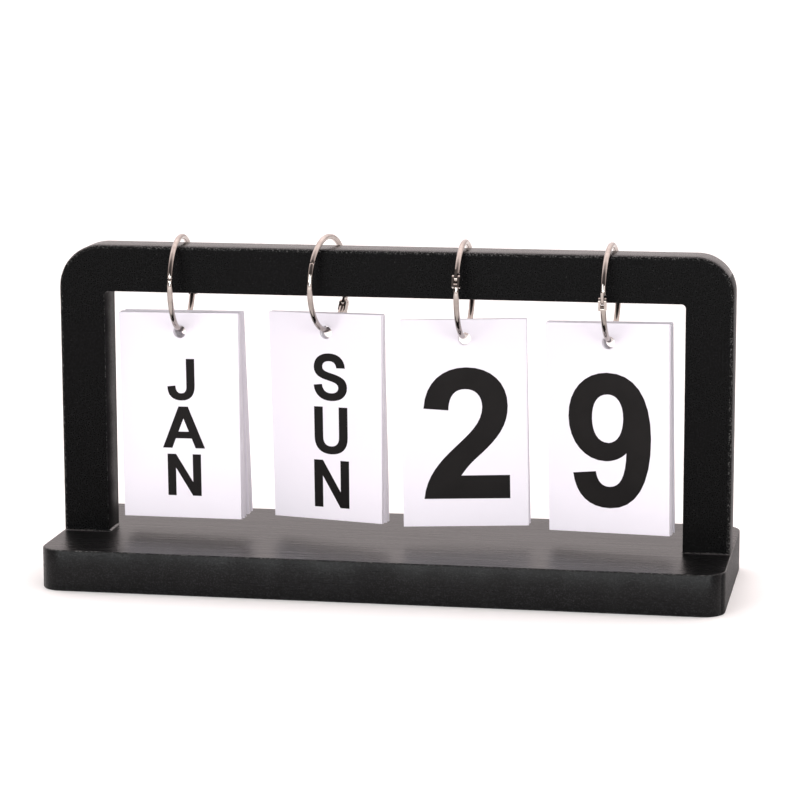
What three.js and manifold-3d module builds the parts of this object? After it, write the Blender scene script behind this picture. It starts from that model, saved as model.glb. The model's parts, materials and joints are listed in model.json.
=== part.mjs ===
// Flip desk calendar: a painted board base carries an upside-down U of the same board.
// Four hinged book rings hang on its rail, and each ring holds one pack of punched cards:
// months, weekdays, tens and units of the date.
//
// Millimetres, +Z up, +X along the rail, -Y towards the reader.
// The origin is the centre of the underside of the base.

import * as THREE from 'three';
import { mergeVertices } from 'three/addons/utils/BufferGeometryUtils.js';
import Module from 'manifold-3d';

const wasm = await Module();
wasm.setup();

// ---------------------------------------------------------------- driving dimensions

const base = { width: 261, depth: 87, thickness: 16, cornerRadius: 8.5, edge: 0.5 };

const arch = {
  width: 260,
  height: 112.8,
  thickness: 15,
  post: 18,
  rail: 18,
  leftRadius: 16.8,
  rightRadius: 14.5,
  innerRadius: 1.6,
  edge: 1,
  y: -1.6,
};

const screw = {
  shankRadius: 2,
  headRadius: 3.6,
  headHeight: 2.4,
  length: 34,
  pointLength: 3,
  recess: 0.6,
  slotWidth: 0.9,
  slotDepth: 1.1,
  slotLength: 4.1,
};
const screwGap = 0.3;
const screwSpacing = 9;

const ring = { wireRadius: 1.1, outerDiameter: 38, railGap: 0.3 };
const knuckle = {
  pinRadius: 0.5,
  boreRadius: 0.65,
  lugRadius: 1.35,
  lug: 0.75,
  tongue: 1.0,
  gap: 0.22,
  outset: 0.8,
  strap: 3.2,
  throat: 0.35,
  wireStart: 2.06,
};
const clasp = {
  gap: 0.3,
  tipRadius: 0.5,
  tipLength: 1.2,
  tipRoot: 1,
  socketRadius: 0.85,
  socketDepth: 1.6,
};

const card = {
  width: 48,
  height: 80,
  thickness: 0.3,
  holeRadius: 2.5,
  holeBelowTop: 7.4,
  holeOffCentre: 0.4,
};
const holeSlack = 1;

// One row for each pack, left to right. Angles are in degrees.
//   x          place of the ring along the rail
//   lift       how much higher the ring sits than one that is square on the rail
//   ringTurn   how far the ring is turned from square on the rail, about +Z
//   packTurn   the same for the cards, which lie askew on the wire
//   lean       tilt of the front card, and fan, the step in tilt to each card behind it
//   pitch      distance between neighbouring cards at the ring's centre
//   sway       how far the cards hang out of level, about the hole
//   split      height of the front joint of the ring, as an angle above its centre
//   hinge      whether the hinge is the front joint or the back one
const packs = [
  {
    name: 'month', x: -83.2, lift: 0, ringTurn: 0, packTurn: -4.4, lean: -2, fan: 0.6,
    pitch: 0.46, sway: -1.1, split: 11, hinge: 'back',
    faces: ['jan', 'feb', 'mar', 'apr', 'may', 'jun', 'jul', 'aug', 'sep', 'oct', 'nov', 'dec'],
  },
  {
    name: 'weekday', x: -25.5, lift: 1.1, ringTurn: -11, packTurn: -17, lean: -1.6, fan: 0.48,
    pitch: 0.47, sway: -1.6, split: 31.5, hinge: 'back',
    faces: ['sun', 'mon', 'tue', 'wed', 'thu', 'fri', 'sat'],
  },
  {
    name: 'tens', x: 27.4, lift: 0, ringTurn: -1, packTurn: 6.8, lean: -0.6, fan: 0.5,
    pitch: 0.47, sway: -1.1, split: 20, hinge: 'front',
    faces: ['2', '3', '0', '1'],
  },
  {
    name: 'units', x: 83.2, lift: 0, ringTurn: -3, packTurn: -10, lean: -1.9, fan: 0.3,
    pitch: 0.53, sway: -1.5, split: -2, hinge: 'front',
    faces: ['9', '0', '1', '2', '3', '4', '5', '6', '7', '8'],
  },
];

// The cards of a pack differ a little in sway, by up to swaySpread degrees.
const swaySpread = 0.35;
const swayPhase = 2;

// ---------------------------------------------------------------- derived sizes

const railTop = base.thickness + arch.height;
const wireCentre = ring.outerDiameter / 2 - ring.wireRadius;
const wireInside = wireCentre - ring.wireRadius;

// The ring rests on the two rounded top edges of the rail.
const ringDrop = arch.edge + Math.sqrt(
  (wireInside - ring.railGap - arch.edge) ** 2 - (arch.thickness / 2 - arch.edge) ** 2);
const ringHeight = railTop - ringDrop;
const holeCircle = wireCentre + holeSlack;

const lugOutside = knuckle.tongue / 2 + knuckle.gap + knuckle.lug;
const blockStart = knuckle.lugRadius + knuckle.throat;

// ---------------------------------------------------------------- finishes

const blackPaint = { color: 0x17171a, roughness: 0.38, metalness: 0 };
const nickel = { color: 0xc9c6c0, roughness: 0.16, metalness: 1 };
const zinc = { color: 0x9a9a96, roughness: 0.4, metalness: 1 };
const whiteCard = { color: 0xf6f2f8, roughness: 0.75, metalness: 0 };

// ---------------------------------------------------------------- helpers

const degrees = THREE.MathUtils.degToRad;

function toSolid(geometry) {
  const plain = geometry.clone();
  plain.deleteAttribute('normal');
  plain.deleteAttribute('uv');
  const merged = mergeVertices(plain, 1e-4);
  return new wasm.Manifold(new wasm.Mesh({
    numProp: 3,
    vertProperties: new Float32Array(merged.attributes.position.array),
    triVerts: new Uint32Array(merged.index.array),
  }));
}

function toGeometry(solid) {
  const mesh = solid.getMesh();
  const geometry = new THREE.BufferGeometry();
  geometry.setAttribute('position', new THREE.BufferAttribute(mesh.vertProperties, 3));
  geometry.setIndex(new THREE.BufferAttribute(mesh.triVerts, 1));
  geometry.computeVertexNormals();
  return geometry;
}

function addMesh(parent, name, geometry, finish) {
  const mesh = new THREE.Mesh(geometry, new THREE.MeshStandardMaterial(finish));
  mesh.name = name;
  parent.add(mesh);
  return mesh;
}

function box(x, y, z) {
  return new THREE.BoxGeometry(x, y, z);
}

// A rod along Y, centred on the origin.
function rod(radius, length, sides) {
  return new THREE.CylinderGeometry(radius, radius, length, sides);
}

// ---------------------------------------------------------------- stand

function roundedRectangle(width, depth, radius) {
  const x = width / 2;
  const y = depth / 2;
  const shape = new THREE.Shape();
  shape.moveTo(-x + radius, -y);
  shape.absarc(x - radius, -y + radius, radius, -Math.PI / 2, 0);
  shape.absarc(x - radius, y - radius, radius, 0, Math.PI / 2);
  shape.absarc(-x + radius, y - radius, radius, Math.PI / 2, Math.PI);
  shape.absarc(-x + radius, -y + radius, radius, Math.PI, Math.PI * 1.5);
  return shape;
}

// Two screws under each post, in line along the post's width.
const postCentre = (arch.width - arch.post) / 2;
const screwPlaces = [
  { name: 'left_outer', x: -postCentre - screwSpacing / 2 },
  { name: 'left_inner', x: -postCentre + screwSpacing / 2 },
  { name: 'right_inner', x: postCentre - screwSpacing / 2 },
  { name: 'right_outer', x: postCentre + screwSpacing / 2 },
];

// The outline of a countersunk screw from the axis at its head to the axis at its point,
// grown by a clearance all round.
function screwProfile(clearance) {
  const { shankRadius, headRadius, headHeight, length, pointLength } = screw;
  return [
    new THREE.Vector2(0, -clearance),
    new THREE.Vector2(headRadius + clearance, -clearance),
    new THREE.Vector2(shankRadius + clearance, headHeight + clearance),
    new THREE.Vector2(shankRadius + clearance, length - pointLength),
    new THREE.Vector2(0, length + clearance),
  ];
}

function screwSolid() {
  const { slotWidth, slotDepth, slotLength } = screw;
  const body = toSolid(new THREE.LatheGeometry(screwProfile(0), 14).rotateX(Math.PI / 2));
  const slot = toSolid(box(slotLength, slotWidth, slotDepth * 2));
  const crossSlot = toSolid(box(slotWidth, slotLength, slotDepth * 2));
  return body.subtract(slot).subtract(crossSlot);
}

// The hole that one screw needs, open at the underside of the base.
function screwHole(x) {
  const mouthRadius = screw.headRadius + screwGap;
  const mouthTop = screw.recess - screwGap / 2;
  const mouthLength = screw.recess * 4;
  const hole = new THREE.LatheGeometry(screwProfile(screwGap), 14).rotateX(Math.PI / 2);
  const mouth = rod(mouthRadius, mouthLength, 14).rotateX(Math.PI / 2);
  return toSolid(hole.translate(x, arch.y, screw.recess))
    .add(toSolid(mouth.translate(x, arch.y, mouthTop - mouthLength / 2)));
}

function makeBase(group) {
  const outline = roundedRectangle(
    base.width - 2 * base.edge, base.depth - 2 * base.edge, base.cornerRadius - base.edge);
  const slab = new THREE.ExtrudeGeometry(outline, {
    depth: base.thickness - 2 * base.edge,
    bevelThickness: base.edge,
    bevelSize: base.edge,
    bevelSegments: 2,
    curveSegments: 4,
  }).translate(0, 0, base.edge);
  let solid = toSolid(slab);
  for (const place of screwPlaces) {
    solid = solid.subtract(screwHole(place.x));
  }
  addMesh(group, 'base_board', toGeometry(solid), blackPaint);
}

function makeArch(group) {
  const { width, height, thickness, post, rail, leftRadius, rightRadius, innerRadius, edge } = arch;
  const spare = 4;
  const outer = width / 2 - edge;
  const inner = width / 2 - post + edge;
  const top = height - edge;
  const underRail = height - rail + edge;
  const left = leftRadius - edge;
  const right = rightRadius - edge;
  const small = innerRadius + edge;

  const outline = new THREE.Shape();
  outline.moveTo(outer, -spare);
  outline.lineTo(outer, top - right);
  outline.absarc(outer - right, top - right, right, 0, Math.PI / 2);
  outline.lineTo(-outer + left, top);
  outline.absarc(-outer + left, top - left, left, Math.PI / 2, Math.PI);
  outline.lineTo(-outer, -spare);
  outline.lineTo(-inner, -spare);
  outline.lineTo(-inner, underRail - small);
  outline.absarc(-inner + small, underRail - small, small, Math.PI, Math.PI / 2, true);
  outline.lineTo(inner - small, underRail);
  outline.absarc(inner - small, underRail - small, small, Math.PI / 2, 0, true);
  outline.lineTo(inner, -spare);

  const board = new THREE.ExtrudeGeometry(outline, {
    depth: thickness - 2 * edge,
    bevelThickness: edge,
    bevelSize: edge,
    bevelSegments: 2,
    curveSegments: 4,
  }).translate(0, 0, edge - thickness / 2).rotateX(Math.PI / 2);
  board.translate(0, arch.y, base.thickness);

  // The feet of the posts are sawn square where they meet the base.
  const offcut = box(width * 2, thickness * 4, spare * 4);
  offcut.translate(0, arch.y, base.thickness - spare * 2);
  let solid = toSolid(board).subtract(toSolid(offcut));
  for (const place of screwPlaces) {
    solid = solid.subtract(screwHole(place.x));
  }
  addMesh(group, 'arch_frame', toGeometry(solid), blackPaint);
}

function makeScrews(group) {
  for (const place of screwPlaces) {
    const mesh = addMesh(group, `screw_${place.name}`, toGeometry(screwSolid()), zinc);
    mesh.position.set(place.x, arch.y, screw.recess);
  }
}

// ---------------------------------------------------------------- rings

// Angles round a ring start at its front and go up over its top.
class RingArc extends THREE.Curve {
  constructor(start, end) {
    super();
    this.start = start;
    this.end = end;
  }

  getPoint(t, target = new THREE.Vector3()) {
    const angle = this.start + (this.end - this.start) * t;
    return target.set(0, -wireCentre * Math.cos(angle), wireCentre * Math.sin(angle));
  }
}

function wire(start, end) {
  const section = new THREE.Shape();
  section.absarc(0, 0, ring.wireRadius, 0, Math.PI * 2);
  return new THREE.ExtrudeGeometry(section, {
    steps: 15,
    curveSegments: 5,
    extrudePath: new RingArc(start, end),
  });
}

// Moves a piece built at a joint into its place on the ring. Built at the joint, +Z runs
// along the wire in the upward sense of the angle, and -Y points away from the centre.
function placeAtJoint(geometry, angle, outset = 0) {
  const reach = wireCentre + outset;
  return geometry.rotateX(-angle)
    .translate(0, -reach * Math.cos(angle), reach * Math.sin(angle));
}

// A flat plate across X with a round eye at the origin and a tail along +Z or -Z.
function eyePlate(thickness, x, tail) {
  const radius = knuckle.lugRadius;
  const eye = rod(radius, thickness, 16).rotateZ(Math.PI / 2).translate(x, 0, 0);
  const strap = box(thickness, radius * 2, Math.abs(tail)).translate(x, 0, tail / 2);
  return toSolid(eye).add(toSolid(strap));
}

function hingePin() {
  return rod(knuckle.pinRadius, 2 * lugOutside, 12).rotateZ(Math.PI / 2);
}

function hingeBore() {
  return toSolid(rod(knuckle.boreRadius, 4 * lugOutside, 12).rotateZ(Math.PI / 2));
}

// The fork of the lower half: two lugs joined by a block that the wire runs into.
// side is +1 where the lower half lies above the joint in angle, and -1 below it.
function forkEnd(side) {
  const lugX = lugOutside - knuckle.lug / 2;
  const blockLength = knuckle.strap - blockStart;
  const block = box(2 * lugOutside, 2 * knuckle.lugRadius, blockLength);
  block.translate(0, 0, side * (blockStart + blockLength / 2));
  return eyePlate(knuckle.lug, lugX, side * knuckle.strap)
    .add(eyePlate(knuckle.lug, -lugX, side * knuckle.strap))
    .add(toSolid(block))
    .subtract(hingeBore());
}

function tongueEnd(side) {
  return eyePlate(knuckle.tongue, 0, side * knuckle.strap).subtract(hingeBore());
}

function atJoint(solid, angle, outset = 0) {
  return toSolid(placeAtJoint(toGeometry(solid), angle, outset));
}

function makeRing(group, pack) {
  const split = degrees(pack.split);
  const hingeAtFront = pack.hinge === 'front';
  const hingeAngle = hingeAtFront ? split : split + Math.PI;
  const claspAngle = hingeAtFront ? split + Math.PI : split;
  const tongueTrim = knuckle.wireStart / wireCentre;
  const forkTrim = blockStart / wireCentre;
  const claspTrim = clasp.gap / 2 / wireCentre;
  const upper = hingeAtFront ? 1 : -1;

  // The upper half closes over the rail, the lower half carries the cards.
  const upperArc = wire(hingeAngle + upper * tongueTrim, claspAngle - upper * claspTrim);
  const lowerArc = wire(
    hingeAngle - upper * forkTrim,
    claspAngle + upper * claspTrim - upper * Math.PI * 2);

  const { tipRadius, tipLength, tipRoot } = clasp;
  const tip = rod(tipRadius, tipLength + tipRoot, 10).rotateX(Math.PI / 2);
  tip.translate(0, 0, upper * (tipLength - tipRoot) / 2);
  const socket = rod(clasp.socketRadius, clasp.socketDepth * 2, 12).rotateX(Math.PI / 2);

  const upperHalf = toSolid(upperArc)
    .add(atJoint(tongueEnd(upper), hingeAngle, knuckle.outset))
    .add(toSolid(placeAtJoint(tip, claspAngle)));
  const lowerHalf = toSolid(lowerArc)
    .subtract(toSolid(placeAtJoint(socket, claspAngle)))
    .add(atJoint(forkEnd(-upper), hingeAngle, knuckle.outset));

  addMesh(group, `${pack.name}_ring_upper_half`, toGeometry(upperHalf), nickel);
  addMesh(group, `${pack.name}_ring_lower_half`, toGeometry(lowerHalf), nickel);
  const pin = placeAtJoint(hingePin(), hingeAngle, knuckle.outset);
  addMesh(group, `${pack.name}_ring_pin`, pin, nickel);
}

// ---------------------------------------------------------------- cards

// One card, built round the centre of its hole, with its printed face towards -Y.
function cardGeometry() {
  const left = -card.width / 2 - card.holeOffCentre;
  const right = left + card.width;
  const top = card.holeBelowTop;
  const bottom = top - card.height;
  const outline = new THREE.Shape();
  outline.moveTo(left, bottom);
  outline.lineTo(right, bottom);
  outline.lineTo(right, top);
  outline.lineTo(left, top);
  const hole = new THREE.Path();
  hole.absarc(0, 0, card.holeRadius, 0, Math.PI * 2);
  outline.holes.push(hole);
  return new THREE.ExtrudeGeometry(outline, {
    depth: card.thickness,
    bevelEnabled: false,
    curveSegments: 8,
  }).translate(0, 0, -card.thickness / 2).rotateX(Math.PI / 2);
}

function makePack(ringGroup, pack) {
  const middle = (pack.faces.length - 1) / 2;
  pack.faces.forEach((face, index) => {
    const offset = (index - middle) * pack.pitch;
    const hang = Math.sqrt(holeCircle ** 2 - offset ** 2);

    const leaning = new THREE.Group();
    leaning.rotation.x = degrees(pack.lean + pack.fan * index);
    ringGroup.add(leaning);

    const turned = new THREE.Group();
    turned.rotation.z = degrees(pack.packTurn - pack.ringTurn);
    leaning.add(turned);

    const mesh = addMesh(turned, `${pack.name}_card_${face}`, cardGeometry(), whiteCard);
    mesh.position.set(0, offset, -hang);
    mesh.rotation.y = degrees(pack.sway + swaySpread * Math.sin(swayPhase * index));
  });
}

// ---------------------------------------------------------------- assembly

const calendar = new THREE.Group();
makeBase(calendar);
makeArch(calendar);
makeScrews(calendar);

for (const pack of packs) {
  const ringGroup = new THREE.Group();
  ringGroup.position.set(pack.x, arch.y, ringHeight + pack.lift);
  ringGroup.rotation.z = degrees(pack.ringTurn);
  calendar.add(ringGroup);
  makeRing(ringGroup, pack);
  makePack(ringGroup, pack);
}

export default calendar;
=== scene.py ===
"""Flip desk calendar: the looks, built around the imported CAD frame. Blender 4.5, metres."""

import json
from math import atan2, cos, pi, radians, sin, sqrt

import bmesh
import bpy
from mathutils import Matrix, Vector, geometry, noise


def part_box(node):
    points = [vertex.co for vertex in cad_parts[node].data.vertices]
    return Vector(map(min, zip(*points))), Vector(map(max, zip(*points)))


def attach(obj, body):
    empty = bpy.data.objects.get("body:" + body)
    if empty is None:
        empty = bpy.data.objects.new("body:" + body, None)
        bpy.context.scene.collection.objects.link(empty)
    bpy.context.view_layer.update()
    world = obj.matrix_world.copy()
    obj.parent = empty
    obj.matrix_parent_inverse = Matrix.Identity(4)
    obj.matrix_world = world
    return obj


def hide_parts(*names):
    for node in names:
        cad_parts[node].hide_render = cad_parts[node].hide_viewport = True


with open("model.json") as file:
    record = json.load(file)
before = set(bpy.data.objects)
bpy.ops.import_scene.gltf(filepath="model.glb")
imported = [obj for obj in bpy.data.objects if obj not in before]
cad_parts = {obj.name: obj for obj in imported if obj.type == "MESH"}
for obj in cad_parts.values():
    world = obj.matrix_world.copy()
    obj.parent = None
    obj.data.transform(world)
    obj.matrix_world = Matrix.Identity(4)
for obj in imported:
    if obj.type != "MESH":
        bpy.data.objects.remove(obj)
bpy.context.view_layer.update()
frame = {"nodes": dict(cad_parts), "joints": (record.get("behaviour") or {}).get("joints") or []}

MM = 0.001
joints = {joint["name"]: joint for joint in frame["joints"]}

# ------------------------------------------------------------------ driving sizes

BASE_CORNER = 8.5 * MM
BASE_EDGE = 0.5 * MM
ARCH_POST = 18 * MM
ARCH_RAIL = 18 * MM
ARCH_LEFT_CORNER = 16.8 * MM
ARCH_RIGHT_CORNER = 14.5 * MM
ARCH_INNER_CORNER = 1.6 * MM
ARCH_OUTER_EDGE = 1.5 * MM
ARCH_INNER_EDGE = 0.25 * MM
WIRE_RADIUS = 1.06 * MM
WIRE_CIRCLE = 17.88 * MM
BEAD = 0.55 * MM
CARD_HOLE = 2.5 * MM
CARD_HOLE_DROP = 7.4 * MM
CARD_HOLE_SHIFT = 0.4 * MM
CARD_THICKNESS = 0.3 * MM

PACKS = {
    "month": ["jan", "feb", "mar", "apr", "may", "jun", "jul", "aug", "sep", "oct", "nov", "dec"],
    "weekday": ["sun", "mon", "tue", "wed", "thu", "fri", "sat"],
    "tens": ["2", "3", "0", "1"],
    "units": ["9", "0", "1", "2", "3", "4", "5", "6", "7", "8"],
}

# How the print sits on a card: height of a character, its width against the drawn shape,
# distance from one to the next, distance from the card's top edge to the first, how far right
# of the hole it is centred, and how far the ink spreads.
PRINT = {
    "month": {"height": 16.1 * MM, "wide": 1.0, "step": 18.6 * MM, "top": 18.0 * MM,
              "right": 0.7 * MM, "spread": 0.09 * MM},
    "weekday": {"height": 18.2 * MM, "wide": 1.0, "step": 20.7 * MM, "top": 15.5 * MM,
                "right": 1.5 * MM, "spread": 0.1 * MM},
    "tens": {"height": 50.5 * MM, "wide": 0.99, "step": 0.0, "top": 18.6 * MM,
             "right": 0.2 * MM, "spread": 0.22 * MM},
    "units": {"height": 51.3 * MM, "wide": 1.03, "step": 0.0, "top": 19.0 * MM,
              "right": 0.2 * MM, "spread": 0.22 * MM},
}

# The set of the card stock in each pack: the turn of the bottom edge against the top edge,
# and how far the foot of the card curls towards the reader.
CARD_SET = {
    "month": {"twist": radians(-1.3), "curl": 0.3 * MM},
    "weekday": {"twist": radians(-2.4), "curl": 0.5 * MM},
    "tens": {"twist": radians(0.9), "curl": 0.2 * MM},
    "units": {"twist": radians(-2.6), "curl": 0.5 * MM},
}

# How far a card strays sideways on its wire, and the angle that sets the share of each card.
CARD_STRAY = 0.5 * MM
STRAY_STEP = 2.4


# ------------------------------------------------------------------ materials

class Shader:
    """A node material with a few short ways to add and join nodes."""

    def __init__(self, name):
        self.material = bpy.data.materials.new(name)
        self.material.use_nodes = True
        self.nodes = self.material.node_tree.nodes
        self.links = self.material.node_tree.links
        self.surface = self.nodes["Principled BSDF"]

    def add(self, kind, inputs=(), **settings):
        node = self.nodes.new(kind)
        for key, value in settings.items():
            setattr(node, key, value)
        for key, value in dict(inputs).items():
            if isinstance(value, bpy.types.NodeSocket):
                self.links.new(value, node.inputs[key])
            else:
                node.inputs[key].default_value = value
        return node

    def set(self, **values):
        for key, value in values.items():
            socket = self.surface.inputs[key.replace("_", " ")]
            if isinstance(value, bpy.types.NodeSocket):
                self.links.new(value, socket)
            else:
                socket.default_value = value

    def place(self, scale=(1, 1, 1)):
        """Position on the object in metres, stretched by scale."""
        where = self.add("ShaderNodeTexCoord").outputs["Object"]
        return self.add("ShaderNodeMapping", {"Vector": where, "Scale": scale}).outputs["Vector"]

    def axis(self, letter):
        where = self.add("ShaderNodeTexCoord").outputs["Object"]
        return self.add("ShaderNodeSeparateXYZ", {0: where}).outputs[letter]

    def noise(self, scale, stretch=(1, 1, 1), detail=4, rough=0.55):
        inputs = {"Vector": self.place(stretch), "Scale": scale, "Detail": detail, "Roughness": rough}
        return self.add("ShaderNodeTexNoise", inputs).outputs["Fac"]

    def ramp(self, value, stops):
        node = self.add("ShaderNodeValToRGB", {"Fac": value})
        ramp = node.color_ramp
        while len(ramp.elements) < len(stops):
            ramp.elements.new(0.5)
        for element, (place, colour) in zip(ramp.elements, stops):
            element.position = place
            element.color = (*colour, 1) if isinstance(colour, tuple) else (colour, colour, colour, 1)
        return node.outputs["Color"]

    def remap(self, value, low, high, to_low, to_high):
        inputs = {"Value": value, "From Min": low, "From Max": high, "To Min": to_low, "To Max": to_high}
        return self.add("ShaderNodeMapRange", inputs).outputs["Result"]

    def math(self, operation, a, b):
        return self.add("ShaderNodeMath", {0: a, 1: b}, operation=operation).outputs["Value"]

    def mix(self, factor, a, b):
        node = self.add("ShaderNodeMix", data_type="RGBA")
        for socket, value in ((node.inputs[0], factor), (node.inputs[6], a), (node.inputs[7], b)):
            if isinstance(value, bpy.types.NodeSocket):
                self.links.new(value, socket)
            else:
                socket.default_value = (*value, 1) if isinstance(value, tuple) else value
        return node.outputs[2]

    def bump(self, height, distance, strength=1.0, under=None):
        inputs = {"Height": height, "Distance": distance, "Strength": strength}
        if under:
            inputs["Normal"] = under
        return self.add("ShaderNodeBump", inputs).outputs["Normal"]


def black_paint(name, tone, index, smooth, rough):
    """Brushed-on satin black over wood: faint streaks along each board, orange peel, dust, and painted
    glints: lighter specks along the rounded edges.
    """
    s = Shader(name)
    lengthwise = s.noise(1, stretch=(35, 900, 900), detail=5)
    upright = s.noise(1, stretch=(900, 900, 35), detail=5)
    beyond = s.math("GREATER_THAN", s.math("ABSOLUTE", s.axis("X"), 0), 112.5 * MM)
    above = s.math("GREATER_THAN", s.axis("Z"), 16.1 * MM)
    streaks = s.mix(s.math("MULTIPLY", beyond, above), lengthwise, upright)
    peel = s.noise(1300, detail=4, rough=0.7)
    patches = s.noise(28, detail=3)
    specks = s.noise(1900, detail=1)
    edge = s.add("ShaderNodeAttribute", attribute_name="edge").outputs["Fac"]

    shade = s.remap(patches, 0.3, 0.7, 0.0, 1.0)
    colour = s.mix(shade, (tone, tone, tone * 1.1), (tone * 2, tone * 1.9, tone * 1.9))
    dust = s.remap(specks, 0.765, 0.80, 0.0, 1.0)
    colour = s.mix(s.math("MULTIPLY", dust, 0.12), colour, (0.35, 0.34, 0.33))
    grain = s.remap(s.noise(2100, detail=2), 0.50, 0.68, 0.0, 1.0)
    colour = s.mix(grain, colour, (tone * 11, tone * 10.7, tone * 11.6))
    # Painted highlight: lighter specks along the rounded edges stand in for the glints the light makes
    # there.
    edge_and_glint = s.math("MULTIPLY", edge, s.remap(s.noise(1700, detail=2), 0.54, 0.66, 0.0, 1.0))
    colour = s.mix(edge_and_glint, colour, (0.10, 0.097, 0.095))

    gloss = s.remap(streaks, 0.25, 0.75, smooth, rough)
    gloss = s.math("ADD", gloss, s.math("MULTIPLY", edge, 0.04))
    normal = s.bump(streaks, 0.02 * MM, 0.4)
    normal = s.bump(peel, 0.08 * MM, 0.9, under=normal)
    ragged = s.math("MULTIPLY", edge, s.noise(1500, detail=3))
    normal = s.bump(ragged, 0.22 * MM, 1.0, under=normal)
    s.set(Base_Color=colour, Roughness=gloss, Normal=normal, IOR=index)
    return s.material


def bright_nickel():
    """Polished plate with hairline scratches along the wire and a trace of handling."""
    s = Shader("bright_nickel")
    smudge = s.noise(260, detail=3)
    hairs = s.noise(1, stretch=(6000, 900, 900), detail=3)
    colour = s.mix(s.remap(smudge, 0.35, 0.65, 0.0, 1.0), (0.31, 0.272, 0.25), (0.41, 0.368, 0.34))
    gloss = s.remap(smudge, 0.3, 0.7, 0.05, 0.13)
    normal = s.bump(hairs, 0.003 * MM, 0.5)
    s.set(Base_Color=colour, Metallic=1.0, Roughness=gloss, Normal=normal)
    return s.material


def zinc_plate():
    s = Shader("zinc_plate")
    cloud = s.noise(900, detail=4)
    colour = s.mix(cloud, (0.42, 0.43, 0.44), (0.62, 0.62, 0.60))
    s.set(Base_Color=colour, Metallic=1.0, Roughness=s.remap(cloud, 0.3, 0.7, 0.28, 0.45),
          Normal=s.bump(cloud, 0.02 * MM, 0.5))
    return s.material


def card_stock():
    """Smooth uncoated card: fine fibres, a soft mottle and faces painted a little greyer toward the top,
    near the hole, as painted shade.
    """
    s = Shader("card_stock")
    fibre = s.noise(2600, stretch=(1, 1, 0.45), detail=5, rough=0.7)
    mottle = s.noise(45, detail=3)
    # Painted shade: the faces darken toward the top, evening out the brighter light that falls there.
    painted_top_shade = s.remap(s.axis("Z"), 25 * MM, 95 * MM, 0.0, 1.0)
    low = s.mix(s.remap(mottle, 0.3, 0.7, 0.0, 1.0), (0.785, 0.738, 0.800), (0.805, 0.758, 0.820))
    colour = s.mix(painted_top_shade, low, (0.685, 0.648, 0.706))
    colour = s.mix(s.remap(fibre, 0.62, 0.8, 0.0, 0.18), colour, (0.71, 0.69, 0.74))
    s.set(Base_Color=colour, Roughness=s.remap(fibre, 0.3, 0.7, 0.62, 0.78),
          Normal=s.bump(fibre, 0.015 * MM, 0.5), IOR=1.25)
    return s.material


def cut_edge():
    """The sheared edges of the cards, greyer and rougher than their faces."""
    s = Shader("cut_edge")
    burr = s.noise(3000, detail=4)
    colour = s.mix(s.remap(burr, 0.3, 0.7, 0.0, 1.0), (0.66, 0.62, 0.63), (0.80, 0.77, 0.79))
    s.set(Base_Color=colour, Roughness=s.remap(burr, 0.3, 0.7, 0.75, 0.9),
          Normal=s.bump(burr, 0.03 * MM, 0.6), IOR=1.2)
    return s.material


def printing_ink():
    """Black offset ink, a little glossier than the card, with small thin spots."""
    s = Shader("printing_ink")
    grain = s.noise(2400, detail=4, rough=0.7)
    cover = s.noise(60, detail=2)
    colour = s.mix(s.remap(cover, 0.3, 0.7, 0.0, 1.0), (0.0055, 0.0045, 0.0045), (0.0085, 0.0072, 0.0070))
    colour = s.mix(s.remap(grain, 0.70, 0.82, 0.0, 0.25), colour, (0.10, 0.095, 0.095))
    s.set(Base_Color=colour, Roughness=s.remap(grain, 0.3, 0.7, 0.42, 0.58),
          Normal=s.bump(grain, 0.01 * MM, 0.4), IOR=1.18)
    return s.material


# Copies of one black paint, with tones set by which way a face points, as painted light and shade: the
# arch's front and back faces get a darker coat (painted shade), the top faces a lighter coat (painted
# light), and the ends a duller coat of a tone in between.
BASE_PAINT = black_paint("base_paint", 0.0013, 1.24, 0.24, 0.34)
SHADED_ARCH_PAINT = black_paint("shaded_arch_paint", 0.0007, 1.125, 0.20, 0.29)
LIT_TOP_PAINT = black_paint("lit_top_paint", 0.0020, 1.25, 0.20, 0.29)
END_PAINT = black_paint("end_paint", 0.0015, 1.10, 0.34, 0.46)
BEAD_PAINT = black_paint("bead_paint", 0.0020, 1.45, 0.06, 0.16)
NICKEL = bright_nickel()
ZINC = zinc_plate()
STOCK = card_stock()
INK = printing_ink()
CUT = cut_edge()


# ------------------------------------------------------------------ mesh helpers

def new_object(name, mesh, materials):
    thing = bpy.data.objects.new(name, mesh)
    bpy.context.scene.collection.objects.link(thing)
    for material in materials:
        mesh.materials.append(material)
    return thing


def mesh_from_bmesh(name, bm):
    bmesh.ops.recalc_face_normals(bm, faces=bm.faces)
    mesh = bpy.data.meshes.new(name)
    bm.to_mesh(mesh)
    bm.free()
    return mesh


def bake_modifiers(thing):
    """Replaces the object's mesh by what its modifiers make of it."""
    graph = bpy.context.evaluated_depsgraph_get()
    done = bpy.data.meshes.new_from_object(thing.evaluated_get(graph))
    thing.modifiers.clear()
    thing.data = done
    return thing


def combine(thing, others, operation):
    """Joins the other objects to thing, or cuts them from it, and removes them."""
    for other in others:
        step = thing.modifiers.new("combine", "BOOLEAN")
        step.operation = operation
        step.solver = "EXACT"
        step.object = other
    bake_modifiers(thing)
    for other in others:
        bpy.data.objects.remove(other)
    return thing


def shade_smooth(thing, angle=35):
    thing.data.shade_smooth()
    thing.data.set_sharp_from_angle(angle=radians(angle))
    return thing


def finish_piece(thing, body, nodes):
    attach(thing, body)
    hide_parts(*nodes)
    return thing


def arc_points(centre, radius, start, end, count):
    """Points of an arc with their outward directions; a negative radius makes an inner corner."""
    points = []
    for i in range(count + 1):
        angle = radians(start + (end - start) * i / count)
        way = Vector((cos(angle), sin(angle)))
        points.append((Vector(centre) + way * abs(radius), way if radius > 0 else -way))
    return points


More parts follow.
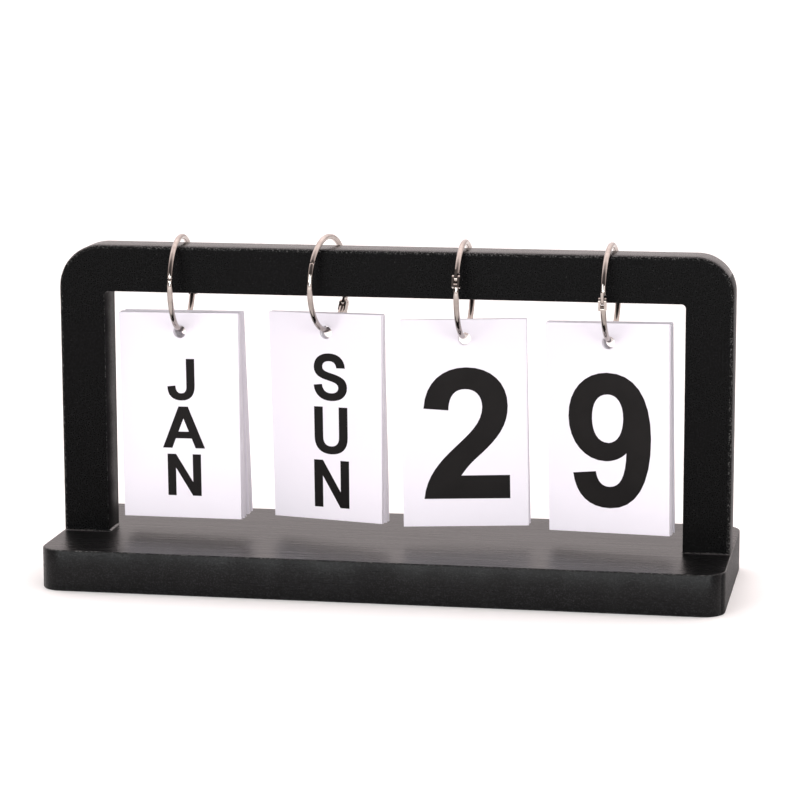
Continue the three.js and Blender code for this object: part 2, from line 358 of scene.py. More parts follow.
def run_points(a, b, spacing):
    """Points between two corners of an outline, without the ends, with their outward direction."""
    span = b[0] - a[0]
    count = max(1, round(span.length / spacing))
    return [(a[0] + span * i / count, a[1].lerp(b[1], i / count)) for i in range(1, count)]


def closed_outline(stretches, spacing):
    """Joins arcs, and single points where an outline ends square, by evenly spaced points."""
    outline = []
    for i, stretch in enumerate(stretches):
        outline += stretch
        after = stretches[(i + 1) % len(stretches)]
        outline += run_points(stretch[-1], after[0], spacing)
    return outline


def board(name, outline, low, high, edge_at, place, wobble):
    """A board of the outline, from low to high, its edges rounded and a little uneven.

    place(x, y, height) turns an outline point and a height into a point of the row frame.
    edge_at(point) is the radius of the edges there.
    """
    steps = 5
    section = []
    for i in range(steps + 1):
        angle = pi / 2 * i / steps
        section.append((1 - sin(angle), low, 1 - cos(angle), sin(2 * angle)))
    section += [(inset, high, -rise, edge_and_glint) for inset, _, rise, edge_and_glint in reversed(section)]

    bm = bmesh.new()
    # Each vertex carries how far round the edge it lies; the paint makes the edges rougher and bumpier with
    # it and paints glints along them.
    edge_and_glint_layer = bm.verts.layers.float.new("edge")
    rings = []
    for inset, face, rise, edge_and_glint in section:
        ring = []
        for point, outward in outline:
            edge = edge_at(point)
            height = face + edge * rise
            spot = place(point.x, point.y, height)
            shake = (1 + noise.noise(spot * 420)) / 2 * wobble * (0.25 + edge_and_glint)
            where = point - outward * (edge * inset + shake)
            vertex = bm.verts.new(place(where.x, where.y, height))
            vertex[edge_and_glint_layer] = edge_and_glint
            ring.append(vertex)
        rings.append(ring)
    count = len(outline)
    for lower, upper in zip(rings, rings[1:]):
        for i in range(count):
            j = (i + 1) % count
            bm.faces.new((lower[i], lower[j], upper[j], upper[i])).smooth = True
    bm.faces.new(list(reversed(rings[0])))
    bm.faces.new(rings[-1])
    return mesh_from_bmesh(name, bm)


def paint_faces(thing):
    """Gives the ends, which drink the paint, the duller coat and the top faces the smoother one. These coats
    are copies of one black paint in other tones, painted light and shade by which way a face points.
    """
    for face in thing.data.polygons:
        if face.normal.z > 0.5:
            face.material_index = 2
        elif abs(face.normal.x) > 0.85:
            face.material_index = 1


# ------------------------------------------------------------------ stand

def rounded_rectangle(low, high, radius, spacing):
    corners = [(high.x, low.y, -90), (high.x, high.y, 0), (low.x, high.y, 90), (low.x, low.y, 180)]
    middle = (low + high) / 2
    stretches = []
    for x, y, start in corners:
        centre = (x - radius if x > middle.x else x + radius, y - radius if y > middle.y else y + radius)
        stretches.append(arc_points(centre, radius, start, start + 90, 14))
    return closed_outline(stretches, spacing)


def add_skin(bm, loops, sides):
    """Joins each loop of vertices to the next by faces. A loop of one vertex closes the end."""
    for lower, upper in zip(loops, loops[1:]):
        for i in range(sides):
            j = (i + 1) % sides
            near = [lower[i % len(lower)], lower[j % len(lower)]]
            far = [upper[j % len(upper)], upper[i % len(upper)]]
            bm.faces.new(list(dict.fromkeys(near + far)))


def lathe(name, profile, sides, place):
    """A turned piece about +Z of the profile's (radius, height) points, which start and end at 0."""
    bm = bmesh.new()
    rings = []
    for radius, height in profile:
        if radius == 0:
            rings.append([bm.verts.new(place @ Vector((0, 0, height)))])
            continue
        rings.append([
            bm.verts.new(place @ Vector((radius * cos(a), radius * sin(a), height)))
            for a in (2 * pi * i / sides for i in range(sides))
        ])
    add_skin(bm, rings, sides)
    return mesh_from_bmesh(name, bm)


def screw_frame(node):
    low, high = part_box(node)
    return Vector(((low.x + high.x) / 2, (low.y + high.y) / 2, low.z)), high.z - low.z


def make_screws():
    """Countersunk screws seen from below, and the cutters for their sunk holes."""
    cutters = []
    for node in [name for name in frame["nodes"] if name.startswith("screw_")]:
        foot, length = screw_frame(node)
        head = 3.6 * MM
        shank = 2.0 * MM
        sunk = 2.4 * MM
        place = Matrix.Translation(foot)
        profile = [(0, 0), (head - 0.3 * MM, 0), (head, 0.15 * MM), (head, 0.3 * MM), (shank, sunk)]
        turns = 16
        pitch = (length - sunk - 5 * MM) / turns
        for i in range(turns):
            start = sunk + 2 * MM + i * pitch
            root = shank * 0.72
            profile += [(shank, start), (root, start + pitch * 0.3), (root, start + pitch * 0.6)]
        profile += [(shank * 0.8, length - 3 * MM), (0, length)]
        screw = new_object("fine_" + node, lathe(node, profile, 32, place), [ZINC])
        slots = []
        slot = (4.4 * MM, 0.9 * MM, 2.4 * MM, 1)
        drive_turn = 20
        for turn in (drive_turn, drive_turn + 90):
            bm = bmesh.new()
            bmesh.ops.create_cube(bm, size=1)
            bm.transform(place @ Matrix.Rotation(radians(turn), 4, "Z") @ Matrix.Diagonal(slot))
            slots.append(new_object("slot", mesh_from_bmesh("slot", bm), []))
        combine(screw, slots, "DIFFERENCE")
        shade_smooth(screw, 30)
        finish_piece(screw, "stand", [node])
        gap = 0.3 * MM
        mouth = [(0, -2 * MM), (head + gap, -2 * MM), (head + gap, gap), (shank + gap, sunk + gap)]
        mouth += [(shank + gap, 14 * MM), (0, 14 * MM)]
        cutters.append(new_object("cutter", lathe("cutter", mouth, 32, place), []))
    return cutters


def make_base(cutters):
    low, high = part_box("base_board")
    flat = (Vector((low.x, low.y)), Vector((high.x, high.y)))
    outline = rounded_rectangle(*flat, BASE_CORNER, 2 * MM)
    mesh = board("base", outline, low.z, high.z, lambda point: BASE_EDGE,
                 lambda x, y, h: Vector((x, y, h)), 0.12 * MM)
    base = new_object("painted_base", mesh, [BASE_PAINT, END_PAINT, BASE_PAINT])
    combine(base, cutters, "DIFFERENCE")
    paint_faces(base)
    finish_piece(base, "stand", ["base_board"])


def arch_outline(low, high, foot):
    """The upside-down U, seen from the front, with its feet drawn down to the height foot."""
    left = ARCH_LEFT_CORNER
    right = ARCH_RIGHT_CORNER
    small = ARCH_INNER_CORNER
    inner_left = low.x + ARCH_POST
    inner_right = high.x - ARCH_POST
    under = high.z - ARCH_RAIL
    down = Vector((0, -1))
    east = Vector((1, 0))
    stretches = [
        [(Vector((high.x, foot)), east)],
        arc_points((high.x - right, high.z - right), right, 0, 90, 22),
        arc_points((low.x + left, high.z - left), left, 90, 180, 22),
        [(Vector((low.x, foot)), -east)],
        [(Vector((low.x, foot)), down), (Vector((inner_left, foot)), down)],
        [(Vector((inner_left, foot)), east)],
        arc_points((inner_left + small, under - small), -small, 180, 90, 5),
        arc_points((inner_right - small, under - small), -small, 90, 0, 5),
        [(Vector((inner_right, foot)), -east)],
        [(Vector((inner_right, foot)), down), (Vector((high.x, foot)), down)],
    ]
    spaced = closed_outline(stretches, 2 * MM)
    distinct = []
    for point, outward in spaced:
        if not distinct or (point - distinct[-1][0]).length > 0.05 * MM:
            distinct.append((point, outward))
    return distinct


def make_arch():
    low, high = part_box("arch_frame")
    spare = 3 * MM
    outline = arch_outline(low, high, low.z - spare)

    def edge_at(point):
        across = low.x + ARCH_POST - MM < point.x < high.x - ARCH_POST + MM
        return ARCH_INNER_EDGE if across and point.y < high.z - ARCH_RAIL + MM else ARCH_OUTER_EDGE

    mesh = board("arch", outline, -high.y, -low.y, edge_at, lambda x, z, h: Vector((x, -h, z)), 0.16 * MM)
    bm = bmesh.new()
    bm.from_mesh(mesh)
    everything = bm.verts[:] + bm.edges[:] + bm.faces[:]
    cut = bmesh.ops.bisect_plane(
        bm, geom=everything, plane_co=(0, 0, low.z), plane_no=(0, 0, -1), clear_outer=True)
    edges = [e for e in cut["geom_cut"] if isinstance(e, bmesh.types.BMEdge)]
    bmesh.ops.holes_fill(bm, edges=edges)
    arch = new_object("painted_arch", mesh_from_bmesh("arch", bm), [SHADED_ARCH_PAINT, END_PAINT, LIT_TOP_PAINT])
    paint_faces(arch)
    finish_piece(arch, "stand", ["arch_frame"])


def make_paint_beads():
    """The ridge of paint that gathered round the feet of the posts."""
    low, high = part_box("arch_frame")
    inset = 0.5 * MM
    sides = {
        "left": (low.x + inset, low.x + ARCH_POST),
        "right": (high.x - ARCH_POST, high.x - inset),
    }
    for side, (x_low, x_high) in sides.items():
        foot = rounded_rectangle(Vector((x_low, low.y)), Vector((x_high, high.y)), 1.2 * MM, 0.4 * MM)
        bm = bmesh.new()
        sections = []
        for point, outward in foot:
            spot = Vector((point.x, point.y, low.z))
            size = BEAD * (1 + 0.7 * noise.noise(spot * 1100))
            tall = BEAD * (1 + 0.7 * noise.noise(spot * 800 + Vector((5, 0, 0))))
            profile = ((-0.3, -0.1), (1, -0.1), (0.95, 0.08), (0.6, 0.3), (0.3, 0.62), (0.05, 1), (-0.3, 1))
            sections.append([
                bm.verts.new(spot + Vector((*(outward * (u * size)), v * tall)))
                for u, v in profile
            ])
        count = len(sections)
        for i in range(count):
            near = sections[i]
            far = sections[(i + 1) % count]
            for j in range(len(near)):
                k = (j + 1) % len(near)
                bm.faces.new((near[j], far[j], far[k], near[k]))
        bead = new_object(f"paint_bead_{side}", mesh_from_bmesh("bead", bm), [BEAD_PAINT])
        shade_smooth(bead, 60)
        finish_piece(bead, "stand", ["arch_frame"])


# ------------------------------------------------------------------ rings

class RingFrame:
    """Where a ring is: its centre, its axis and the directions to its front and its top."""

    def __init__(self, pack):
        first = PACKS[pack][0]
        turning = joints[f"{pack}_card_{first}_flip"]
        opening = joints[f"{pack}_ring_open"]
        self.centre = Vector(turning["pos_m"])
        axis = Vector(turning["axis"])
        self.axis = axis if axis.x > 0 else -axis
        self.up = Vector((0, 0, 1))
        self.front = self.up.cross(self.axis) * -1
        arm = Vector(opening["pos_m"]) - self.centre
        self.hinge = atan2(arm.dot(self.up), arm.dot(self.front))
        self.hinge_reach = arm.length
        self.rises = 1 if self.front.dot(arm) > 0 else -1

    def way(self, angle):
        return self.front * cos(angle) + self.up * sin(angle)

    def along(self, angle):
        return self.up * cos(angle) - self.front * sin(angle)

    def at_joint(self, angle, reach, sense):
        """A placing with X along the axis, Y outward and Z along the wire, away from the joint."""
        columns = (self.axis, self.way(angle), self.along(angle) * sense)
        turn = Matrix([[c[i] for c in columns] for i in range(3)]).to_4x4()
        return Matrix.Translation(self.centre + self.way(angle) * reach) @ turn


def wire_mesh(name, ring, stations, sides=24):
    """A round wire along the ring through (angle, radius) stations that start and end at 0."""
    bm = bmesh.new()
    loops = []
    for angle, radius in stations:
        centre = ring.centre + ring.way(angle) * WIRE_CIRCLE
        if radius == 0:
            loops.append([bm.verts.new(centre)])
            continue
        loops.append([
            bm.verts.new(centre + (ring.way(angle) * cos(a) + ring.axis * sin(a)) * radius)
            for a in (2 * pi * i / sides for i in range(sides))
        ])
    add_skin(bm, loops, sides)
    return mesh_from_bmesh(name, bm)


def run_of_wire(start, end, inset_start, inset_end, start_profile, end_profile, steps=72):
    """Stations along the wire. A profile gives (distance from the end, radius) in order inward."""
    sense = 1 if end > start else -1
    stations = [(start + sense * (inset_start + d) / WIRE_CIRCLE, r) for d, r in start_profile]
    finish = [(end - sense * (inset_end + d) / WIRE_CIRCLE, r) for d, r in end_profile]
    a = stations[-1][0]
    b = finish[-1][0]
    stations += [(a + (b - a) * i / steps, WIRE_RADIUS) for i in range(1, steps)]
    return stations + list(reversed(finish))


def eye_plate(name, place, radius, x_low, x_high, length, bevel):
    """A flat plate with a round eye at the joint and a straight tail along +Z."""
    sides = 20
    outline = []
    for i in range(sides + 1):
        angle = pi + pi * i / sides
        outline.append((radius * cos(angle), radius * sin(angle)))
    outline += [(radius, length), (-radius, length)]
    bm = bmesh.new()
    loops = [[bm.verts.new(place @ Vector((x, y, z))) for y, z in outline] for x in (x_low, x_high)]
    count = len(outline)
    for i in range(count):
        j = (i + 1) % count
        bm.faces.new((loops[0][i], loops[0][j], loops[1][j], loops[1][i]))
    bm.faces.new(loops[0])
    bm.faces.new(list(reversed(loops[1])))
    rim = [e for e in bm.edges if e.calc_face_angle(0) > radians(50)]
    bmesh.ops.bevel(bm, geom=rim, offset=bevel, segments=3, profile=0.5, affect="EDGES")
    return new_object(name, mesh_from_bmesh(name, bm), [NICKEL])


def make_ring(pack):
    ring = RingFrame(pack)
    hinge = ring.hinge
    rises = ring.rises
    catch = hinge + pi * rises
    eye = 1.35 * MM
    half_tongue = 0.5 * MM
    lug_in = 0.72 * MM
    lug_out = 1.47 * MM
    strap = 3.3 * MM
    block_start = 1.7 * MM
    r = WIRE_RADIUS

    # The ends of the wires, from the tip inward, as (distance along the wire, radius). The ball
    # and the cup of the catch are in millimetres.
    buried = [(0, 0), (0, r * 0.8), (0.15 * MM, r)]
    ball = [(-1.3, 0), (-1.26, 0.4), (-1.05, 0.72), (-0.75, 0.86), (-0.4, 0.8), (-0.15, 0.62),
            (0.12, 0.6), (0.16, 0.82), (0.28, 1.0), (0.5, 1.06)]
    cup = [(1.1, 0), (1.1, 0.5), (0.5, 0.9), (0.08, 0.93), (0.02, 0.97), (0.12, 1.04), (0.4, 1.06)]
    catch_gap = 0.14 * MM
    ball = [(d * MM, q * MM) for d, q in ball]
    cup = [(d * MM, q * MM) for d, q in cup]

    upper = wire_mesh(pack + "_upper", ring, run_of_wire(
        hinge, catch, 2.0 * MM, catch_gap, buried, ball))
    lower = wire_mesh(pack + "_lower", ring, run_of_wire(
        hinge, catch - 2 * pi * rises, 2.0 * MM, catch_gap, buried, cup))
    upper_half = new_object(pack + "_ring_gate", upper, [NICKEL])
    lower_half = new_object(pack + "_ring_hoop", lower, [NICKEL])

    up_place = ring.at_joint(hinge, ring.hinge_reach, rises)
    down_place = ring.at_joint(hinge, ring.hinge_reach, -rises)
    tongue = eye_plate("tongue", up_place, eye, -half_tongue, half_tongue, strap, 0.1 * MM)
    combine(upper_half, [tongue], "UNION")
    lugs = [
        eye_plate("lug", down_place, eye, lug_in, lug_out, strap, 0.12 * MM),
        eye_plate("lug", down_place, eye, -lug_out, -lug_in, strap, 0.12 * MM),
        eye_plate("root", down_place @ Matrix.Translation((0, 0, block_start + eye)), eye,
                  -lug_out + 0.05 * MM, lug_out - 0.05 * MM, strap - block_start - eye + 0.2 * MM, 0.2 * MM),
    ]
    combine(lower_half, lugs, "UNION")
    shade_smooth(upper_half, 40)
    shade_smooth(lower_half, 40)

    head = 0.62 * MM
    neck = 0.5 * MM
    reach = lug_out + 0.02 * MM
    dome = 0.16 * MM
    profile = [(0, -reach - dome), (head * 0.6, -reach - dome * 0.8), (head, -reach)]
    profile += [(neck, -reach + 0.01 * MM)]
    profile += [(radius, -height) for radius, height in reversed(profile)]
    across = up_place @ Matrix.Rotation(pi / 2, 4, "Y")
    pin = new_object(pack + "_ring_rivet", lathe("rivet", profile, 24, across), [NICKEL])
    shade_smooth(pin, 40)

    finish_piece(upper_half, f"{pack}_ring_gate", [f"{pack}_ring_upper_half"])
    finish_piece(lower_half, f"{pack}_ring", [f"{pack}_ring_lower_half"])
    finish_piece(pin, f"{pack}_ring", [f"{pack}_ring_pin"])


# ------------------------------------------------------------------ characters

# A character is a list of simple outlines that may overlap. The height of a capital is 1.
# A step of an outline is a point, or a curve given by two handles and its end.

STEM = 0.2
ARM = 0.16


def path(*steps):
    outline = [steps[0]]
    for step in steps[1:]:
        if len(step) == 2:
            outline.append(step)
            continue
        x0, y0 = outline[-1]
        x1, y1, x2, y2, x3, y3 = step
        for i in range(1, 9):
            t = i / 8
            a, b, c, d = (1 - t) ** 3, 3 * t * (1 - t) ** 2, 3 * t * t * (1 - t), t ** 3
            outline.append((a * x0 + b * x1 + c * x2 + d * x3, a * y0 + b * y1 + c * y2 + d * y3))
    return outline


def bar(x0, y0, x1, y1):
    return [(x0, y0), (x1, y0), (x1, y1), (x0, y1)]


def slant(x0, y0, x1, y1, width):
    """A sloping stroke from bottom to top, cut level at both ends; x is the stroke's middle."""
    h = width / 2
    return [(x0 - h, y0), (x0 + h, y0), (x1 + h, y1), (x1 - h, y1)]


def mirrored(width, outlines):
    return [[(width - x, y) for x, y in outline] for outline in outlines]


def half_round(width, height, side, arm, fullness):
    """The right half of a round character: outer curve down, inner curve back up."""
    x = width / 2
    y = height / 2
    reach = x * fullness
    rise = y * fullness
    inner_x = x - side
    inner_y = y - arm
    inner_reach = inner_x * fullness
    inner_rise = inner_y * fullness
    return path(
        (x, height),
        (x + reach, height, width, y + rise, width, y),
        (width, y - rise, x + reach, 0, x, 0),
        (x, arm),
        (x + inner_reach, arm, x + inner_x, y - inner_rise, x + inner_x, y),
        (x + inner_x, y + inner_rise, x + inner_reach, height - arm, x, height - arm),
    )


def round_shape(width, height, side, arm, fullness=0.58):
    half = [half_round(width, height, side, arm, fullness)]
    return half + mirrored(width, half)


def raised(outlines, right, up):
    return [[(x + right, y + up) for x, y in outline] for outline in outlines]


def letters():
    stem = bar(0, 0, STEM, 1)
    eye_p = path((STEM, 1), (0.40, 1), (0.60, 1, 0.72, 0.88, 0.72, 0.69),
                 (0.72, 0.50, 0.60, 0.38, 0.40, 0.38),
                 (STEM, 0.38), (STEM, 0.54), (0.37, 0.54), (0.46, 0.54, 0.51, 0.60, 0.51, 0.69),
                 (0.51, 0.78, 0.46, 0.84, 0.37, 0.84), (STEM, 0.84))
    upper_b = path((STEM, 1), (0.42, 1), (0.60, 1, 0.70, 0.91, 0.70, 0.75),
                   (0.70, 0.61, 0.61, 0.52, 0.45, 0.51),
                   (STEM, 0.44), (STEM, 0.59), (0.38, 0.59), (0.46, 0.59, 0.50, 0.63, 0.50, 0.715),
                   (0.50, 0.80, 0.46, 0.84, 0.38, 0.84), (STEM, 0.84))
    lower_b = path((STEM, 0), (0.44, 0), (0.63, 0, 0.74, 0.11, 0.74, 0.28),
                   (0.74, 0.45, 0.63, 0.55, 0.45, 0.55),
                   (STEM, 0.58), (STEM, 0.43), (0.40, 0.43), (0.49, 0.43, 0.535, 0.38, 0.535, 0.295),
                   (0.535, 0.20, 0.49, 0.16, 0.40, 0.16), (STEM, 0.16))
    letter_c = path((0.79, 0.31), (0.74, 0.11, 0.62, 0, 0.43, 0), (0.17, 0, 0, 0.20, 0, 0.50),
                    (0, 0.80, 0.17, 1, 0.43, 1), (0.62, 1, 0.74, 0.89, 0.78, 0.71), (0.58, 0.665),
                    (0.56, 0.78, 0.51, 0.84, 0.42, 0.84), (0.28, 0.84, 0.205, 0.71, 0.205, 0.505),
                    (0.205, 0.29, 0.28, 0.16, 0.42, 0.16), (0.51, 0.16, 0.57, 0.225, 0.595, 0.37))
    right_d = path((STEM, 0), (0.33, 0), (0.62, 0, 0.79, 0.19, 0.79, 0.5), (0.79, 0.81, 0.62, 1, 0.33, 1),
                   (STEM, 1), (STEM, 0.84), (0.32, 0.84), (0.50, 0.84, 0.585, 0.72, 0.585, 0.5),
                   (0.585, 0.28, 0.50, 0.16, 0.32, 0.16), (STEM, 0.16))
    letter_g = path((0.86, 0.15), (0.76, 0.05, 0.63, 0, 0.48, 0), (0.18, 0, 0, 0.20, 0, 0.50),
                    (0, 0.80, 0.18, 1, 0.47, 1), (0.67, 1, 0.80, 0.90, 0.84, 0.72), (0.64, 0.68),
                    (0.61, 0.79, 0.55, 0.84, 0.46, 0.84), (0.30, 0.84, 0.21, 0.72, 0.21, 0.51),
                    (0.21, 0.29, 0.30, 0.16, 0.47, 0.16), (0.54, 0.16, 0.61, 0.19, 0.66, 0.235),
                    (0.66, 0.36), (0.47, 0.36), (0.47, 0.52), (0.86, 0.52))
    letter_j = path((0, 0.33), (0, 0.12, 0.12, 0, 0.34, 0), (0.56, 0, 0.68, 0.12, 0.68, 0.36), (0.68, 1),
                    (0.68 - STEM, 1), (0.68 - STEM, 0.33), (0.48, 0.22, 0.43, 0.165, 0.34, 0.165),
                    (0.25, 0.165, 0.20, 0.22, 0.195, 0.35))
    letter_s = path((0, 0.325), (0.02, 0.12, 0.17, 0, 0.41, 0), (0.64, 0, 0.785, 0.11, 0.785, 0.285),
                    (0.785, 0.46, 0.65, 0.52, 0.43, 0.575), (0.26, 0.615, 0.205, 0.65, 0.205, 0.72),
                    (0.205, 0.80, 0.27, 0.845, 0.37, 0.845), (0.47, 0.845, 0.53, 0.80, 0.545, 0.70),
                    (0.74, 0.70), (0.73, 0.89, 0.59, 1, 0.37, 1), (0.15, 1, 0.012, 0.885, 0.012, 0.71),
                    (0.012, 0.54, 0.15, 0.48, 0.36, 0.43), (0.53, 0.39, 0.585, 0.35, 0.585, 0.275),
                    (0.585, 0.20, 0.52, 0.155, 0.41, 0.155), (0.28, 0.155, 0.205, 0.22, 0.19, 0.345))
    letter_u = path((0, 1), (0, 0.36), (0, 0.12, 0.15, 0, 0.395, 0), (0.64, 0, 0.79, 0.12, 0.79, 0.36),
                    (0.79, 1),
                    (0.79 - STEM, 1), (0.79 - STEM, 0.36), (0.59, 0.23, 0.52, 0.16, 0.395, 0.16),
                    (0.27, 0.16, STEM, 0.23, STEM, 0.36), (STEM, 1))
    return {
        "a": (1.06, [slant(0.115, 0, 0.53, 1, 0.23), slant(0.945, 0, 0.53, 1, 0.23),
                     bar(0.22, 0.235, 0.84, 0.39)]),
        "b": (0.74, [stem, upper_b, lower_b]),
        "c": (0.79, [letter_c]),
        "d": (0.79, [stem, right_d]),
        "e": (0.68, [stem, bar(0, 0, 0.68, 0.165), bar(0, 0.42, 0.63, 0.58), bar(0, 0.835, 0.67, 1)]),
        "f": (0.64, [stem, bar(0, 0.40, 0.57, 0.56), bar(0, 0.835, 0.64, 1)]),
        "g": (0.86, [letter_g]),
        "h": (0.79, [stem, bar(0.79 - STEM, 0, 0.79, 1), bar(0, 0.42, 0.79, 0.585)]),
        "i": (STEM, [stem]),
        "j": (0.76, [letter_j]),
        "l": (0.64, [stem, bar(0, 0, 0.64, 0.165)]),
        "m": (0.96, [bar(0, 0, 0.19, 1), bar(0.77, 0, 0.96, 1),
                     slant(0.48, 0, 0.13, 1, 0.22), slant(0.48, 0, 0.83, 1, 0.22)]),
        "n": (0.84, [stem, bar(0.84 - STEM, 0, 0.84, 1), slant(0.735, 0, 0.105, 1, 0.21)]),
        "o": (0.95, round_shape(0.95, 1, 0.205, ARM)),
        "p": (0.72, [stem, eye_p]),
        "r": (0.80, [stem, eye_p, [(0.56, 0), (0.80, 0), (0.56, 0.45), (0.34, 0.45)]]),
        "s": (0.785, [letter_s]),
        "t": (0.76, [bar(0, 0.835, 0.76, 1), bar(0.28, 0, 0.48, 1)]),
        "u": (0.79, [letter_u]),
        "v": (0.94, [slant(0.47, 0, 0.115, 1, 0.23), slant(0.47, 0, 0.825, 1, 0.23)]),
        "w": (1.30, [slant(0.36, 0, 0.105, 1, 0.21), slant(0.36, 0, 0.65, 1, 0.21),
                     slant(0.94, 0, 0.65, 1, 0.21), slant(0.94, 0, 1.195, 1, 0.21)]),
        "y": (0.90, [slant(0.45, 0.38, 0.115, 1, 0.23), slant(0.45, 0.38, 0.785, 1, 0.23),
                     bar(0.35, 0, 0.55, 0.45)]),
    }


def numerals():
    nine_bowl = path((0.285, 1), (0.12, 1, 0, 0.87, 0, 0.675), (0, 0.48, 0.12, 0.35, 0.27, 0.35),
                     (0.33, 0.35, 0.39, 0.375, 0.43, 0.42), (0.29, 0.48),
                     (0.21, 0.48, 0.168, 0.56, 0.168, 0.665),
                     (0.168, 0.78, 0.21, 0.847, 0.29, 0.847))
    nine_tail = path((0.285, 1), (0.48, 1, 0.605, 0.84, 0.605, 0.52), (0.605, 0.18, 0.49, 0, 0.30, 0),
                     (0.14, 0, 0.05, 0.09, 0.03, 0.25), (0.193, 0.265),
                     (0.205, 0.19, 0.24, 0.152, 0.298, 0.152),
                     (0.38, 0.152, 0.425, 0.23, 0.43, 0.42), (0.29, 0.48),
                     (0.37, 0.48, 0.407, 0.57, 0.407, 0.67),
                     (0.407, 0.78, 0.36, 0.847, 0.29, 0.847))
    nine = [nine_bowl, nine_tail]
    six = [[(0.605 - x, 1 - y) for x, y in outline] for outline in nine]
    one = path((0, 0.69), (0.08, 0.715, 0.14, 0.75, 0.19, 0.80), (0.375, 0.80), (0.375, 1), (0.225, 1),
               (0.18, 0.92, 0.10, 0.87, 0, 0.845))
    two = path((0, 0), (0.02, 0.17, 0.12, 0.28, 0.24, 0.39), (0.36, 0.50, 0.45, 0.58, 0.453, 0.70),
               (0.453, 0.79, 0.40, 0.842, 0.32, 0.842), (0.24, 0.842, 0.19, 0.79, 0.186, 0.68),
               (0.004, 0.694),
               (0.02, 0.89, 0.15, 1, 0.33, 1), (0.52, 1, 0.64, 0.88, 0.64, 0.71),
               (0.64, 0.56, 0.56, 0.46, 0.44, 0.35),
               (0.36, 0.28, 0.32, 0.24, 0.277, 0.172), (0.65, 0.172), (0.65, 0))
    three = path((0, 0.26), (0.02, 0.10, 0.13, 0, 0.31, 0), (0.50, 0, 0.64, 0.11, 0.64, 0.285),
                 (0.64, 0.40, 0.57, 0.49, 0.46, 0.52), (0.55, 0.56, 0.60, 0.64, 0.60, 0.74),
                 (0.60, 0.89, 0.48, 1, 0.31, 1), (0.15, 1, 0.04, 0.90, 0.02, 0.74), (0.20, 0.71),
                 (0.205, 0.80, 0.25, 0.845, 0.31, 0.845), (0.375, 0.845, 0.415, 0.80, 0.415, 0.735),
                 (0.415, 0.65, 0.355, 0.595, 0.24, 0.60), (0.22, 0.455),
                 (0.25, 0.463, 0.28, 0.467, 0.305, 0.467),
                 (0.395, 0.467, 0.45, 0.40, 0.45, 0.305), (0.45, 0.21, 0.395, 0.152, 0.31, 0.152),
                 (0.235, 0.152, 0.19, 0.20, 0.18, 0.285))
    five = path((0, 0.265), (0.02, 0.10, 0.13, 0, 0.31, 0), (0.51, 0, 0.64, 0.14, 0.64, 0.335),
                (0.64, 0.525, 0.52, 0.655, 0.345, 0.655), (0.29, 0.655, 0.245, 0.64, 0.20, 0.615),
                (0.225, 0.82),
                (0.59, 0.82), (0.59, 0.985), (0.095, 0.985), (0.02, 0.46), (0.18, 0.44),
                (0.21, 0.485, 0.25, 0.51, 0.30, 0.51), (0.39, 0.51, 0.45, 0.44, 0.45, 0.33),
                (0.45, 0.22, 0.39, 0.152, 0.305, 0.152), (0.24, 0.152, 0.195, 0.20, 0.185, 0.285))
    seven = path((0.10, 0), (0.29, 0), (0.30, 0.30, 0.42, 0.60, 0.63, 0.86), (0.63, 0.985), (0, 0.985),
                 (0, 0.82),
                 (0.40, 0.82), (0.22, 0.60, 0.12, 0.30, 0.10, 0))
    return {
        "0": (0.62, round_shape(0.62, 1, 0.182, 0.152, 0.66)),
        "1": (0.375, [bar(0.19, 0, 0.375, 1), one]),
        "2": (0.65, [two]),
        "3": (0.64, [three]),
        "4": (0.68, [bar(0.38, 0, 0.565, 1), bar(0, 0.215, 0.68, 0.375),
                     [(0, 0.30), (0.14, 0.30), (0.40, 0.72), (0.565, 1), (0.41, 1), (0, 0.375)]]),
        "5": (0.64, [five]),
        "6": (0.605, six),
        "7": (0.63, [seven]),
        "8": (0.62, round_shape(0.62, 0.57, 0.182, 0.145)
              + raised(round_shape(0.55, 0.52, 0.175, 0.14), 0.035, 0.48)),
        "9": (0.605, nine),
    }


CHARACTERS = {**letters(), **numerals()}


def as_shapes(outlines):
    """A flat list of polygons, each running anticlockwise."""
    shapes = []
    for outline in outlines:
        area = sum(a[0] * b[1] - b[0] * a[1] for a, b in zip(outline, outline[1:] + outline[:1]))
        shapes.append(outline if area > 0 else list(reversed(outline)))
    return shapes


def spread(outline, amount):
    """An anticlockwise outline grown by the ink that creeps beyond it."""
    grown = []
    for i, point in enumerate(outline):
        here = Vector(point)
        arriving = (here - Vector(outline[i - 1])).normalized()
        leaving = (Vector(outline[(i + 1) % len(outline)]) - here).normalized()
        along = arriving + leaving
        outward = Vector((along.y, -along.x)).normalized()
        grown.append(tuple(here + outward * amount / max(0.7, along.length / 2)))
    return grown


def printed_shapes(pack, face, top):
    """The polygons printed on a card, in card coordinates with the hole at the origin."""
    plan = PRINT[pack]
    shapes = []
    for row, character in enumerate(face):
        width, outlines = CHARACTERS[character]
        size = plan["height"]
        wide = size * plan["wide"]
        x = plan["right"] - width * wide / 2
        y = top - plan["top"] - row * plan["step"] - size
        for outline in as_shapes(outlines):
            placed = [(x + u * wide, y + v * size) for u, v in outline]
            shapes.append(spread(placed, plan["spread"]))
    return shapes


# ------------------------------------------------------------------ cards

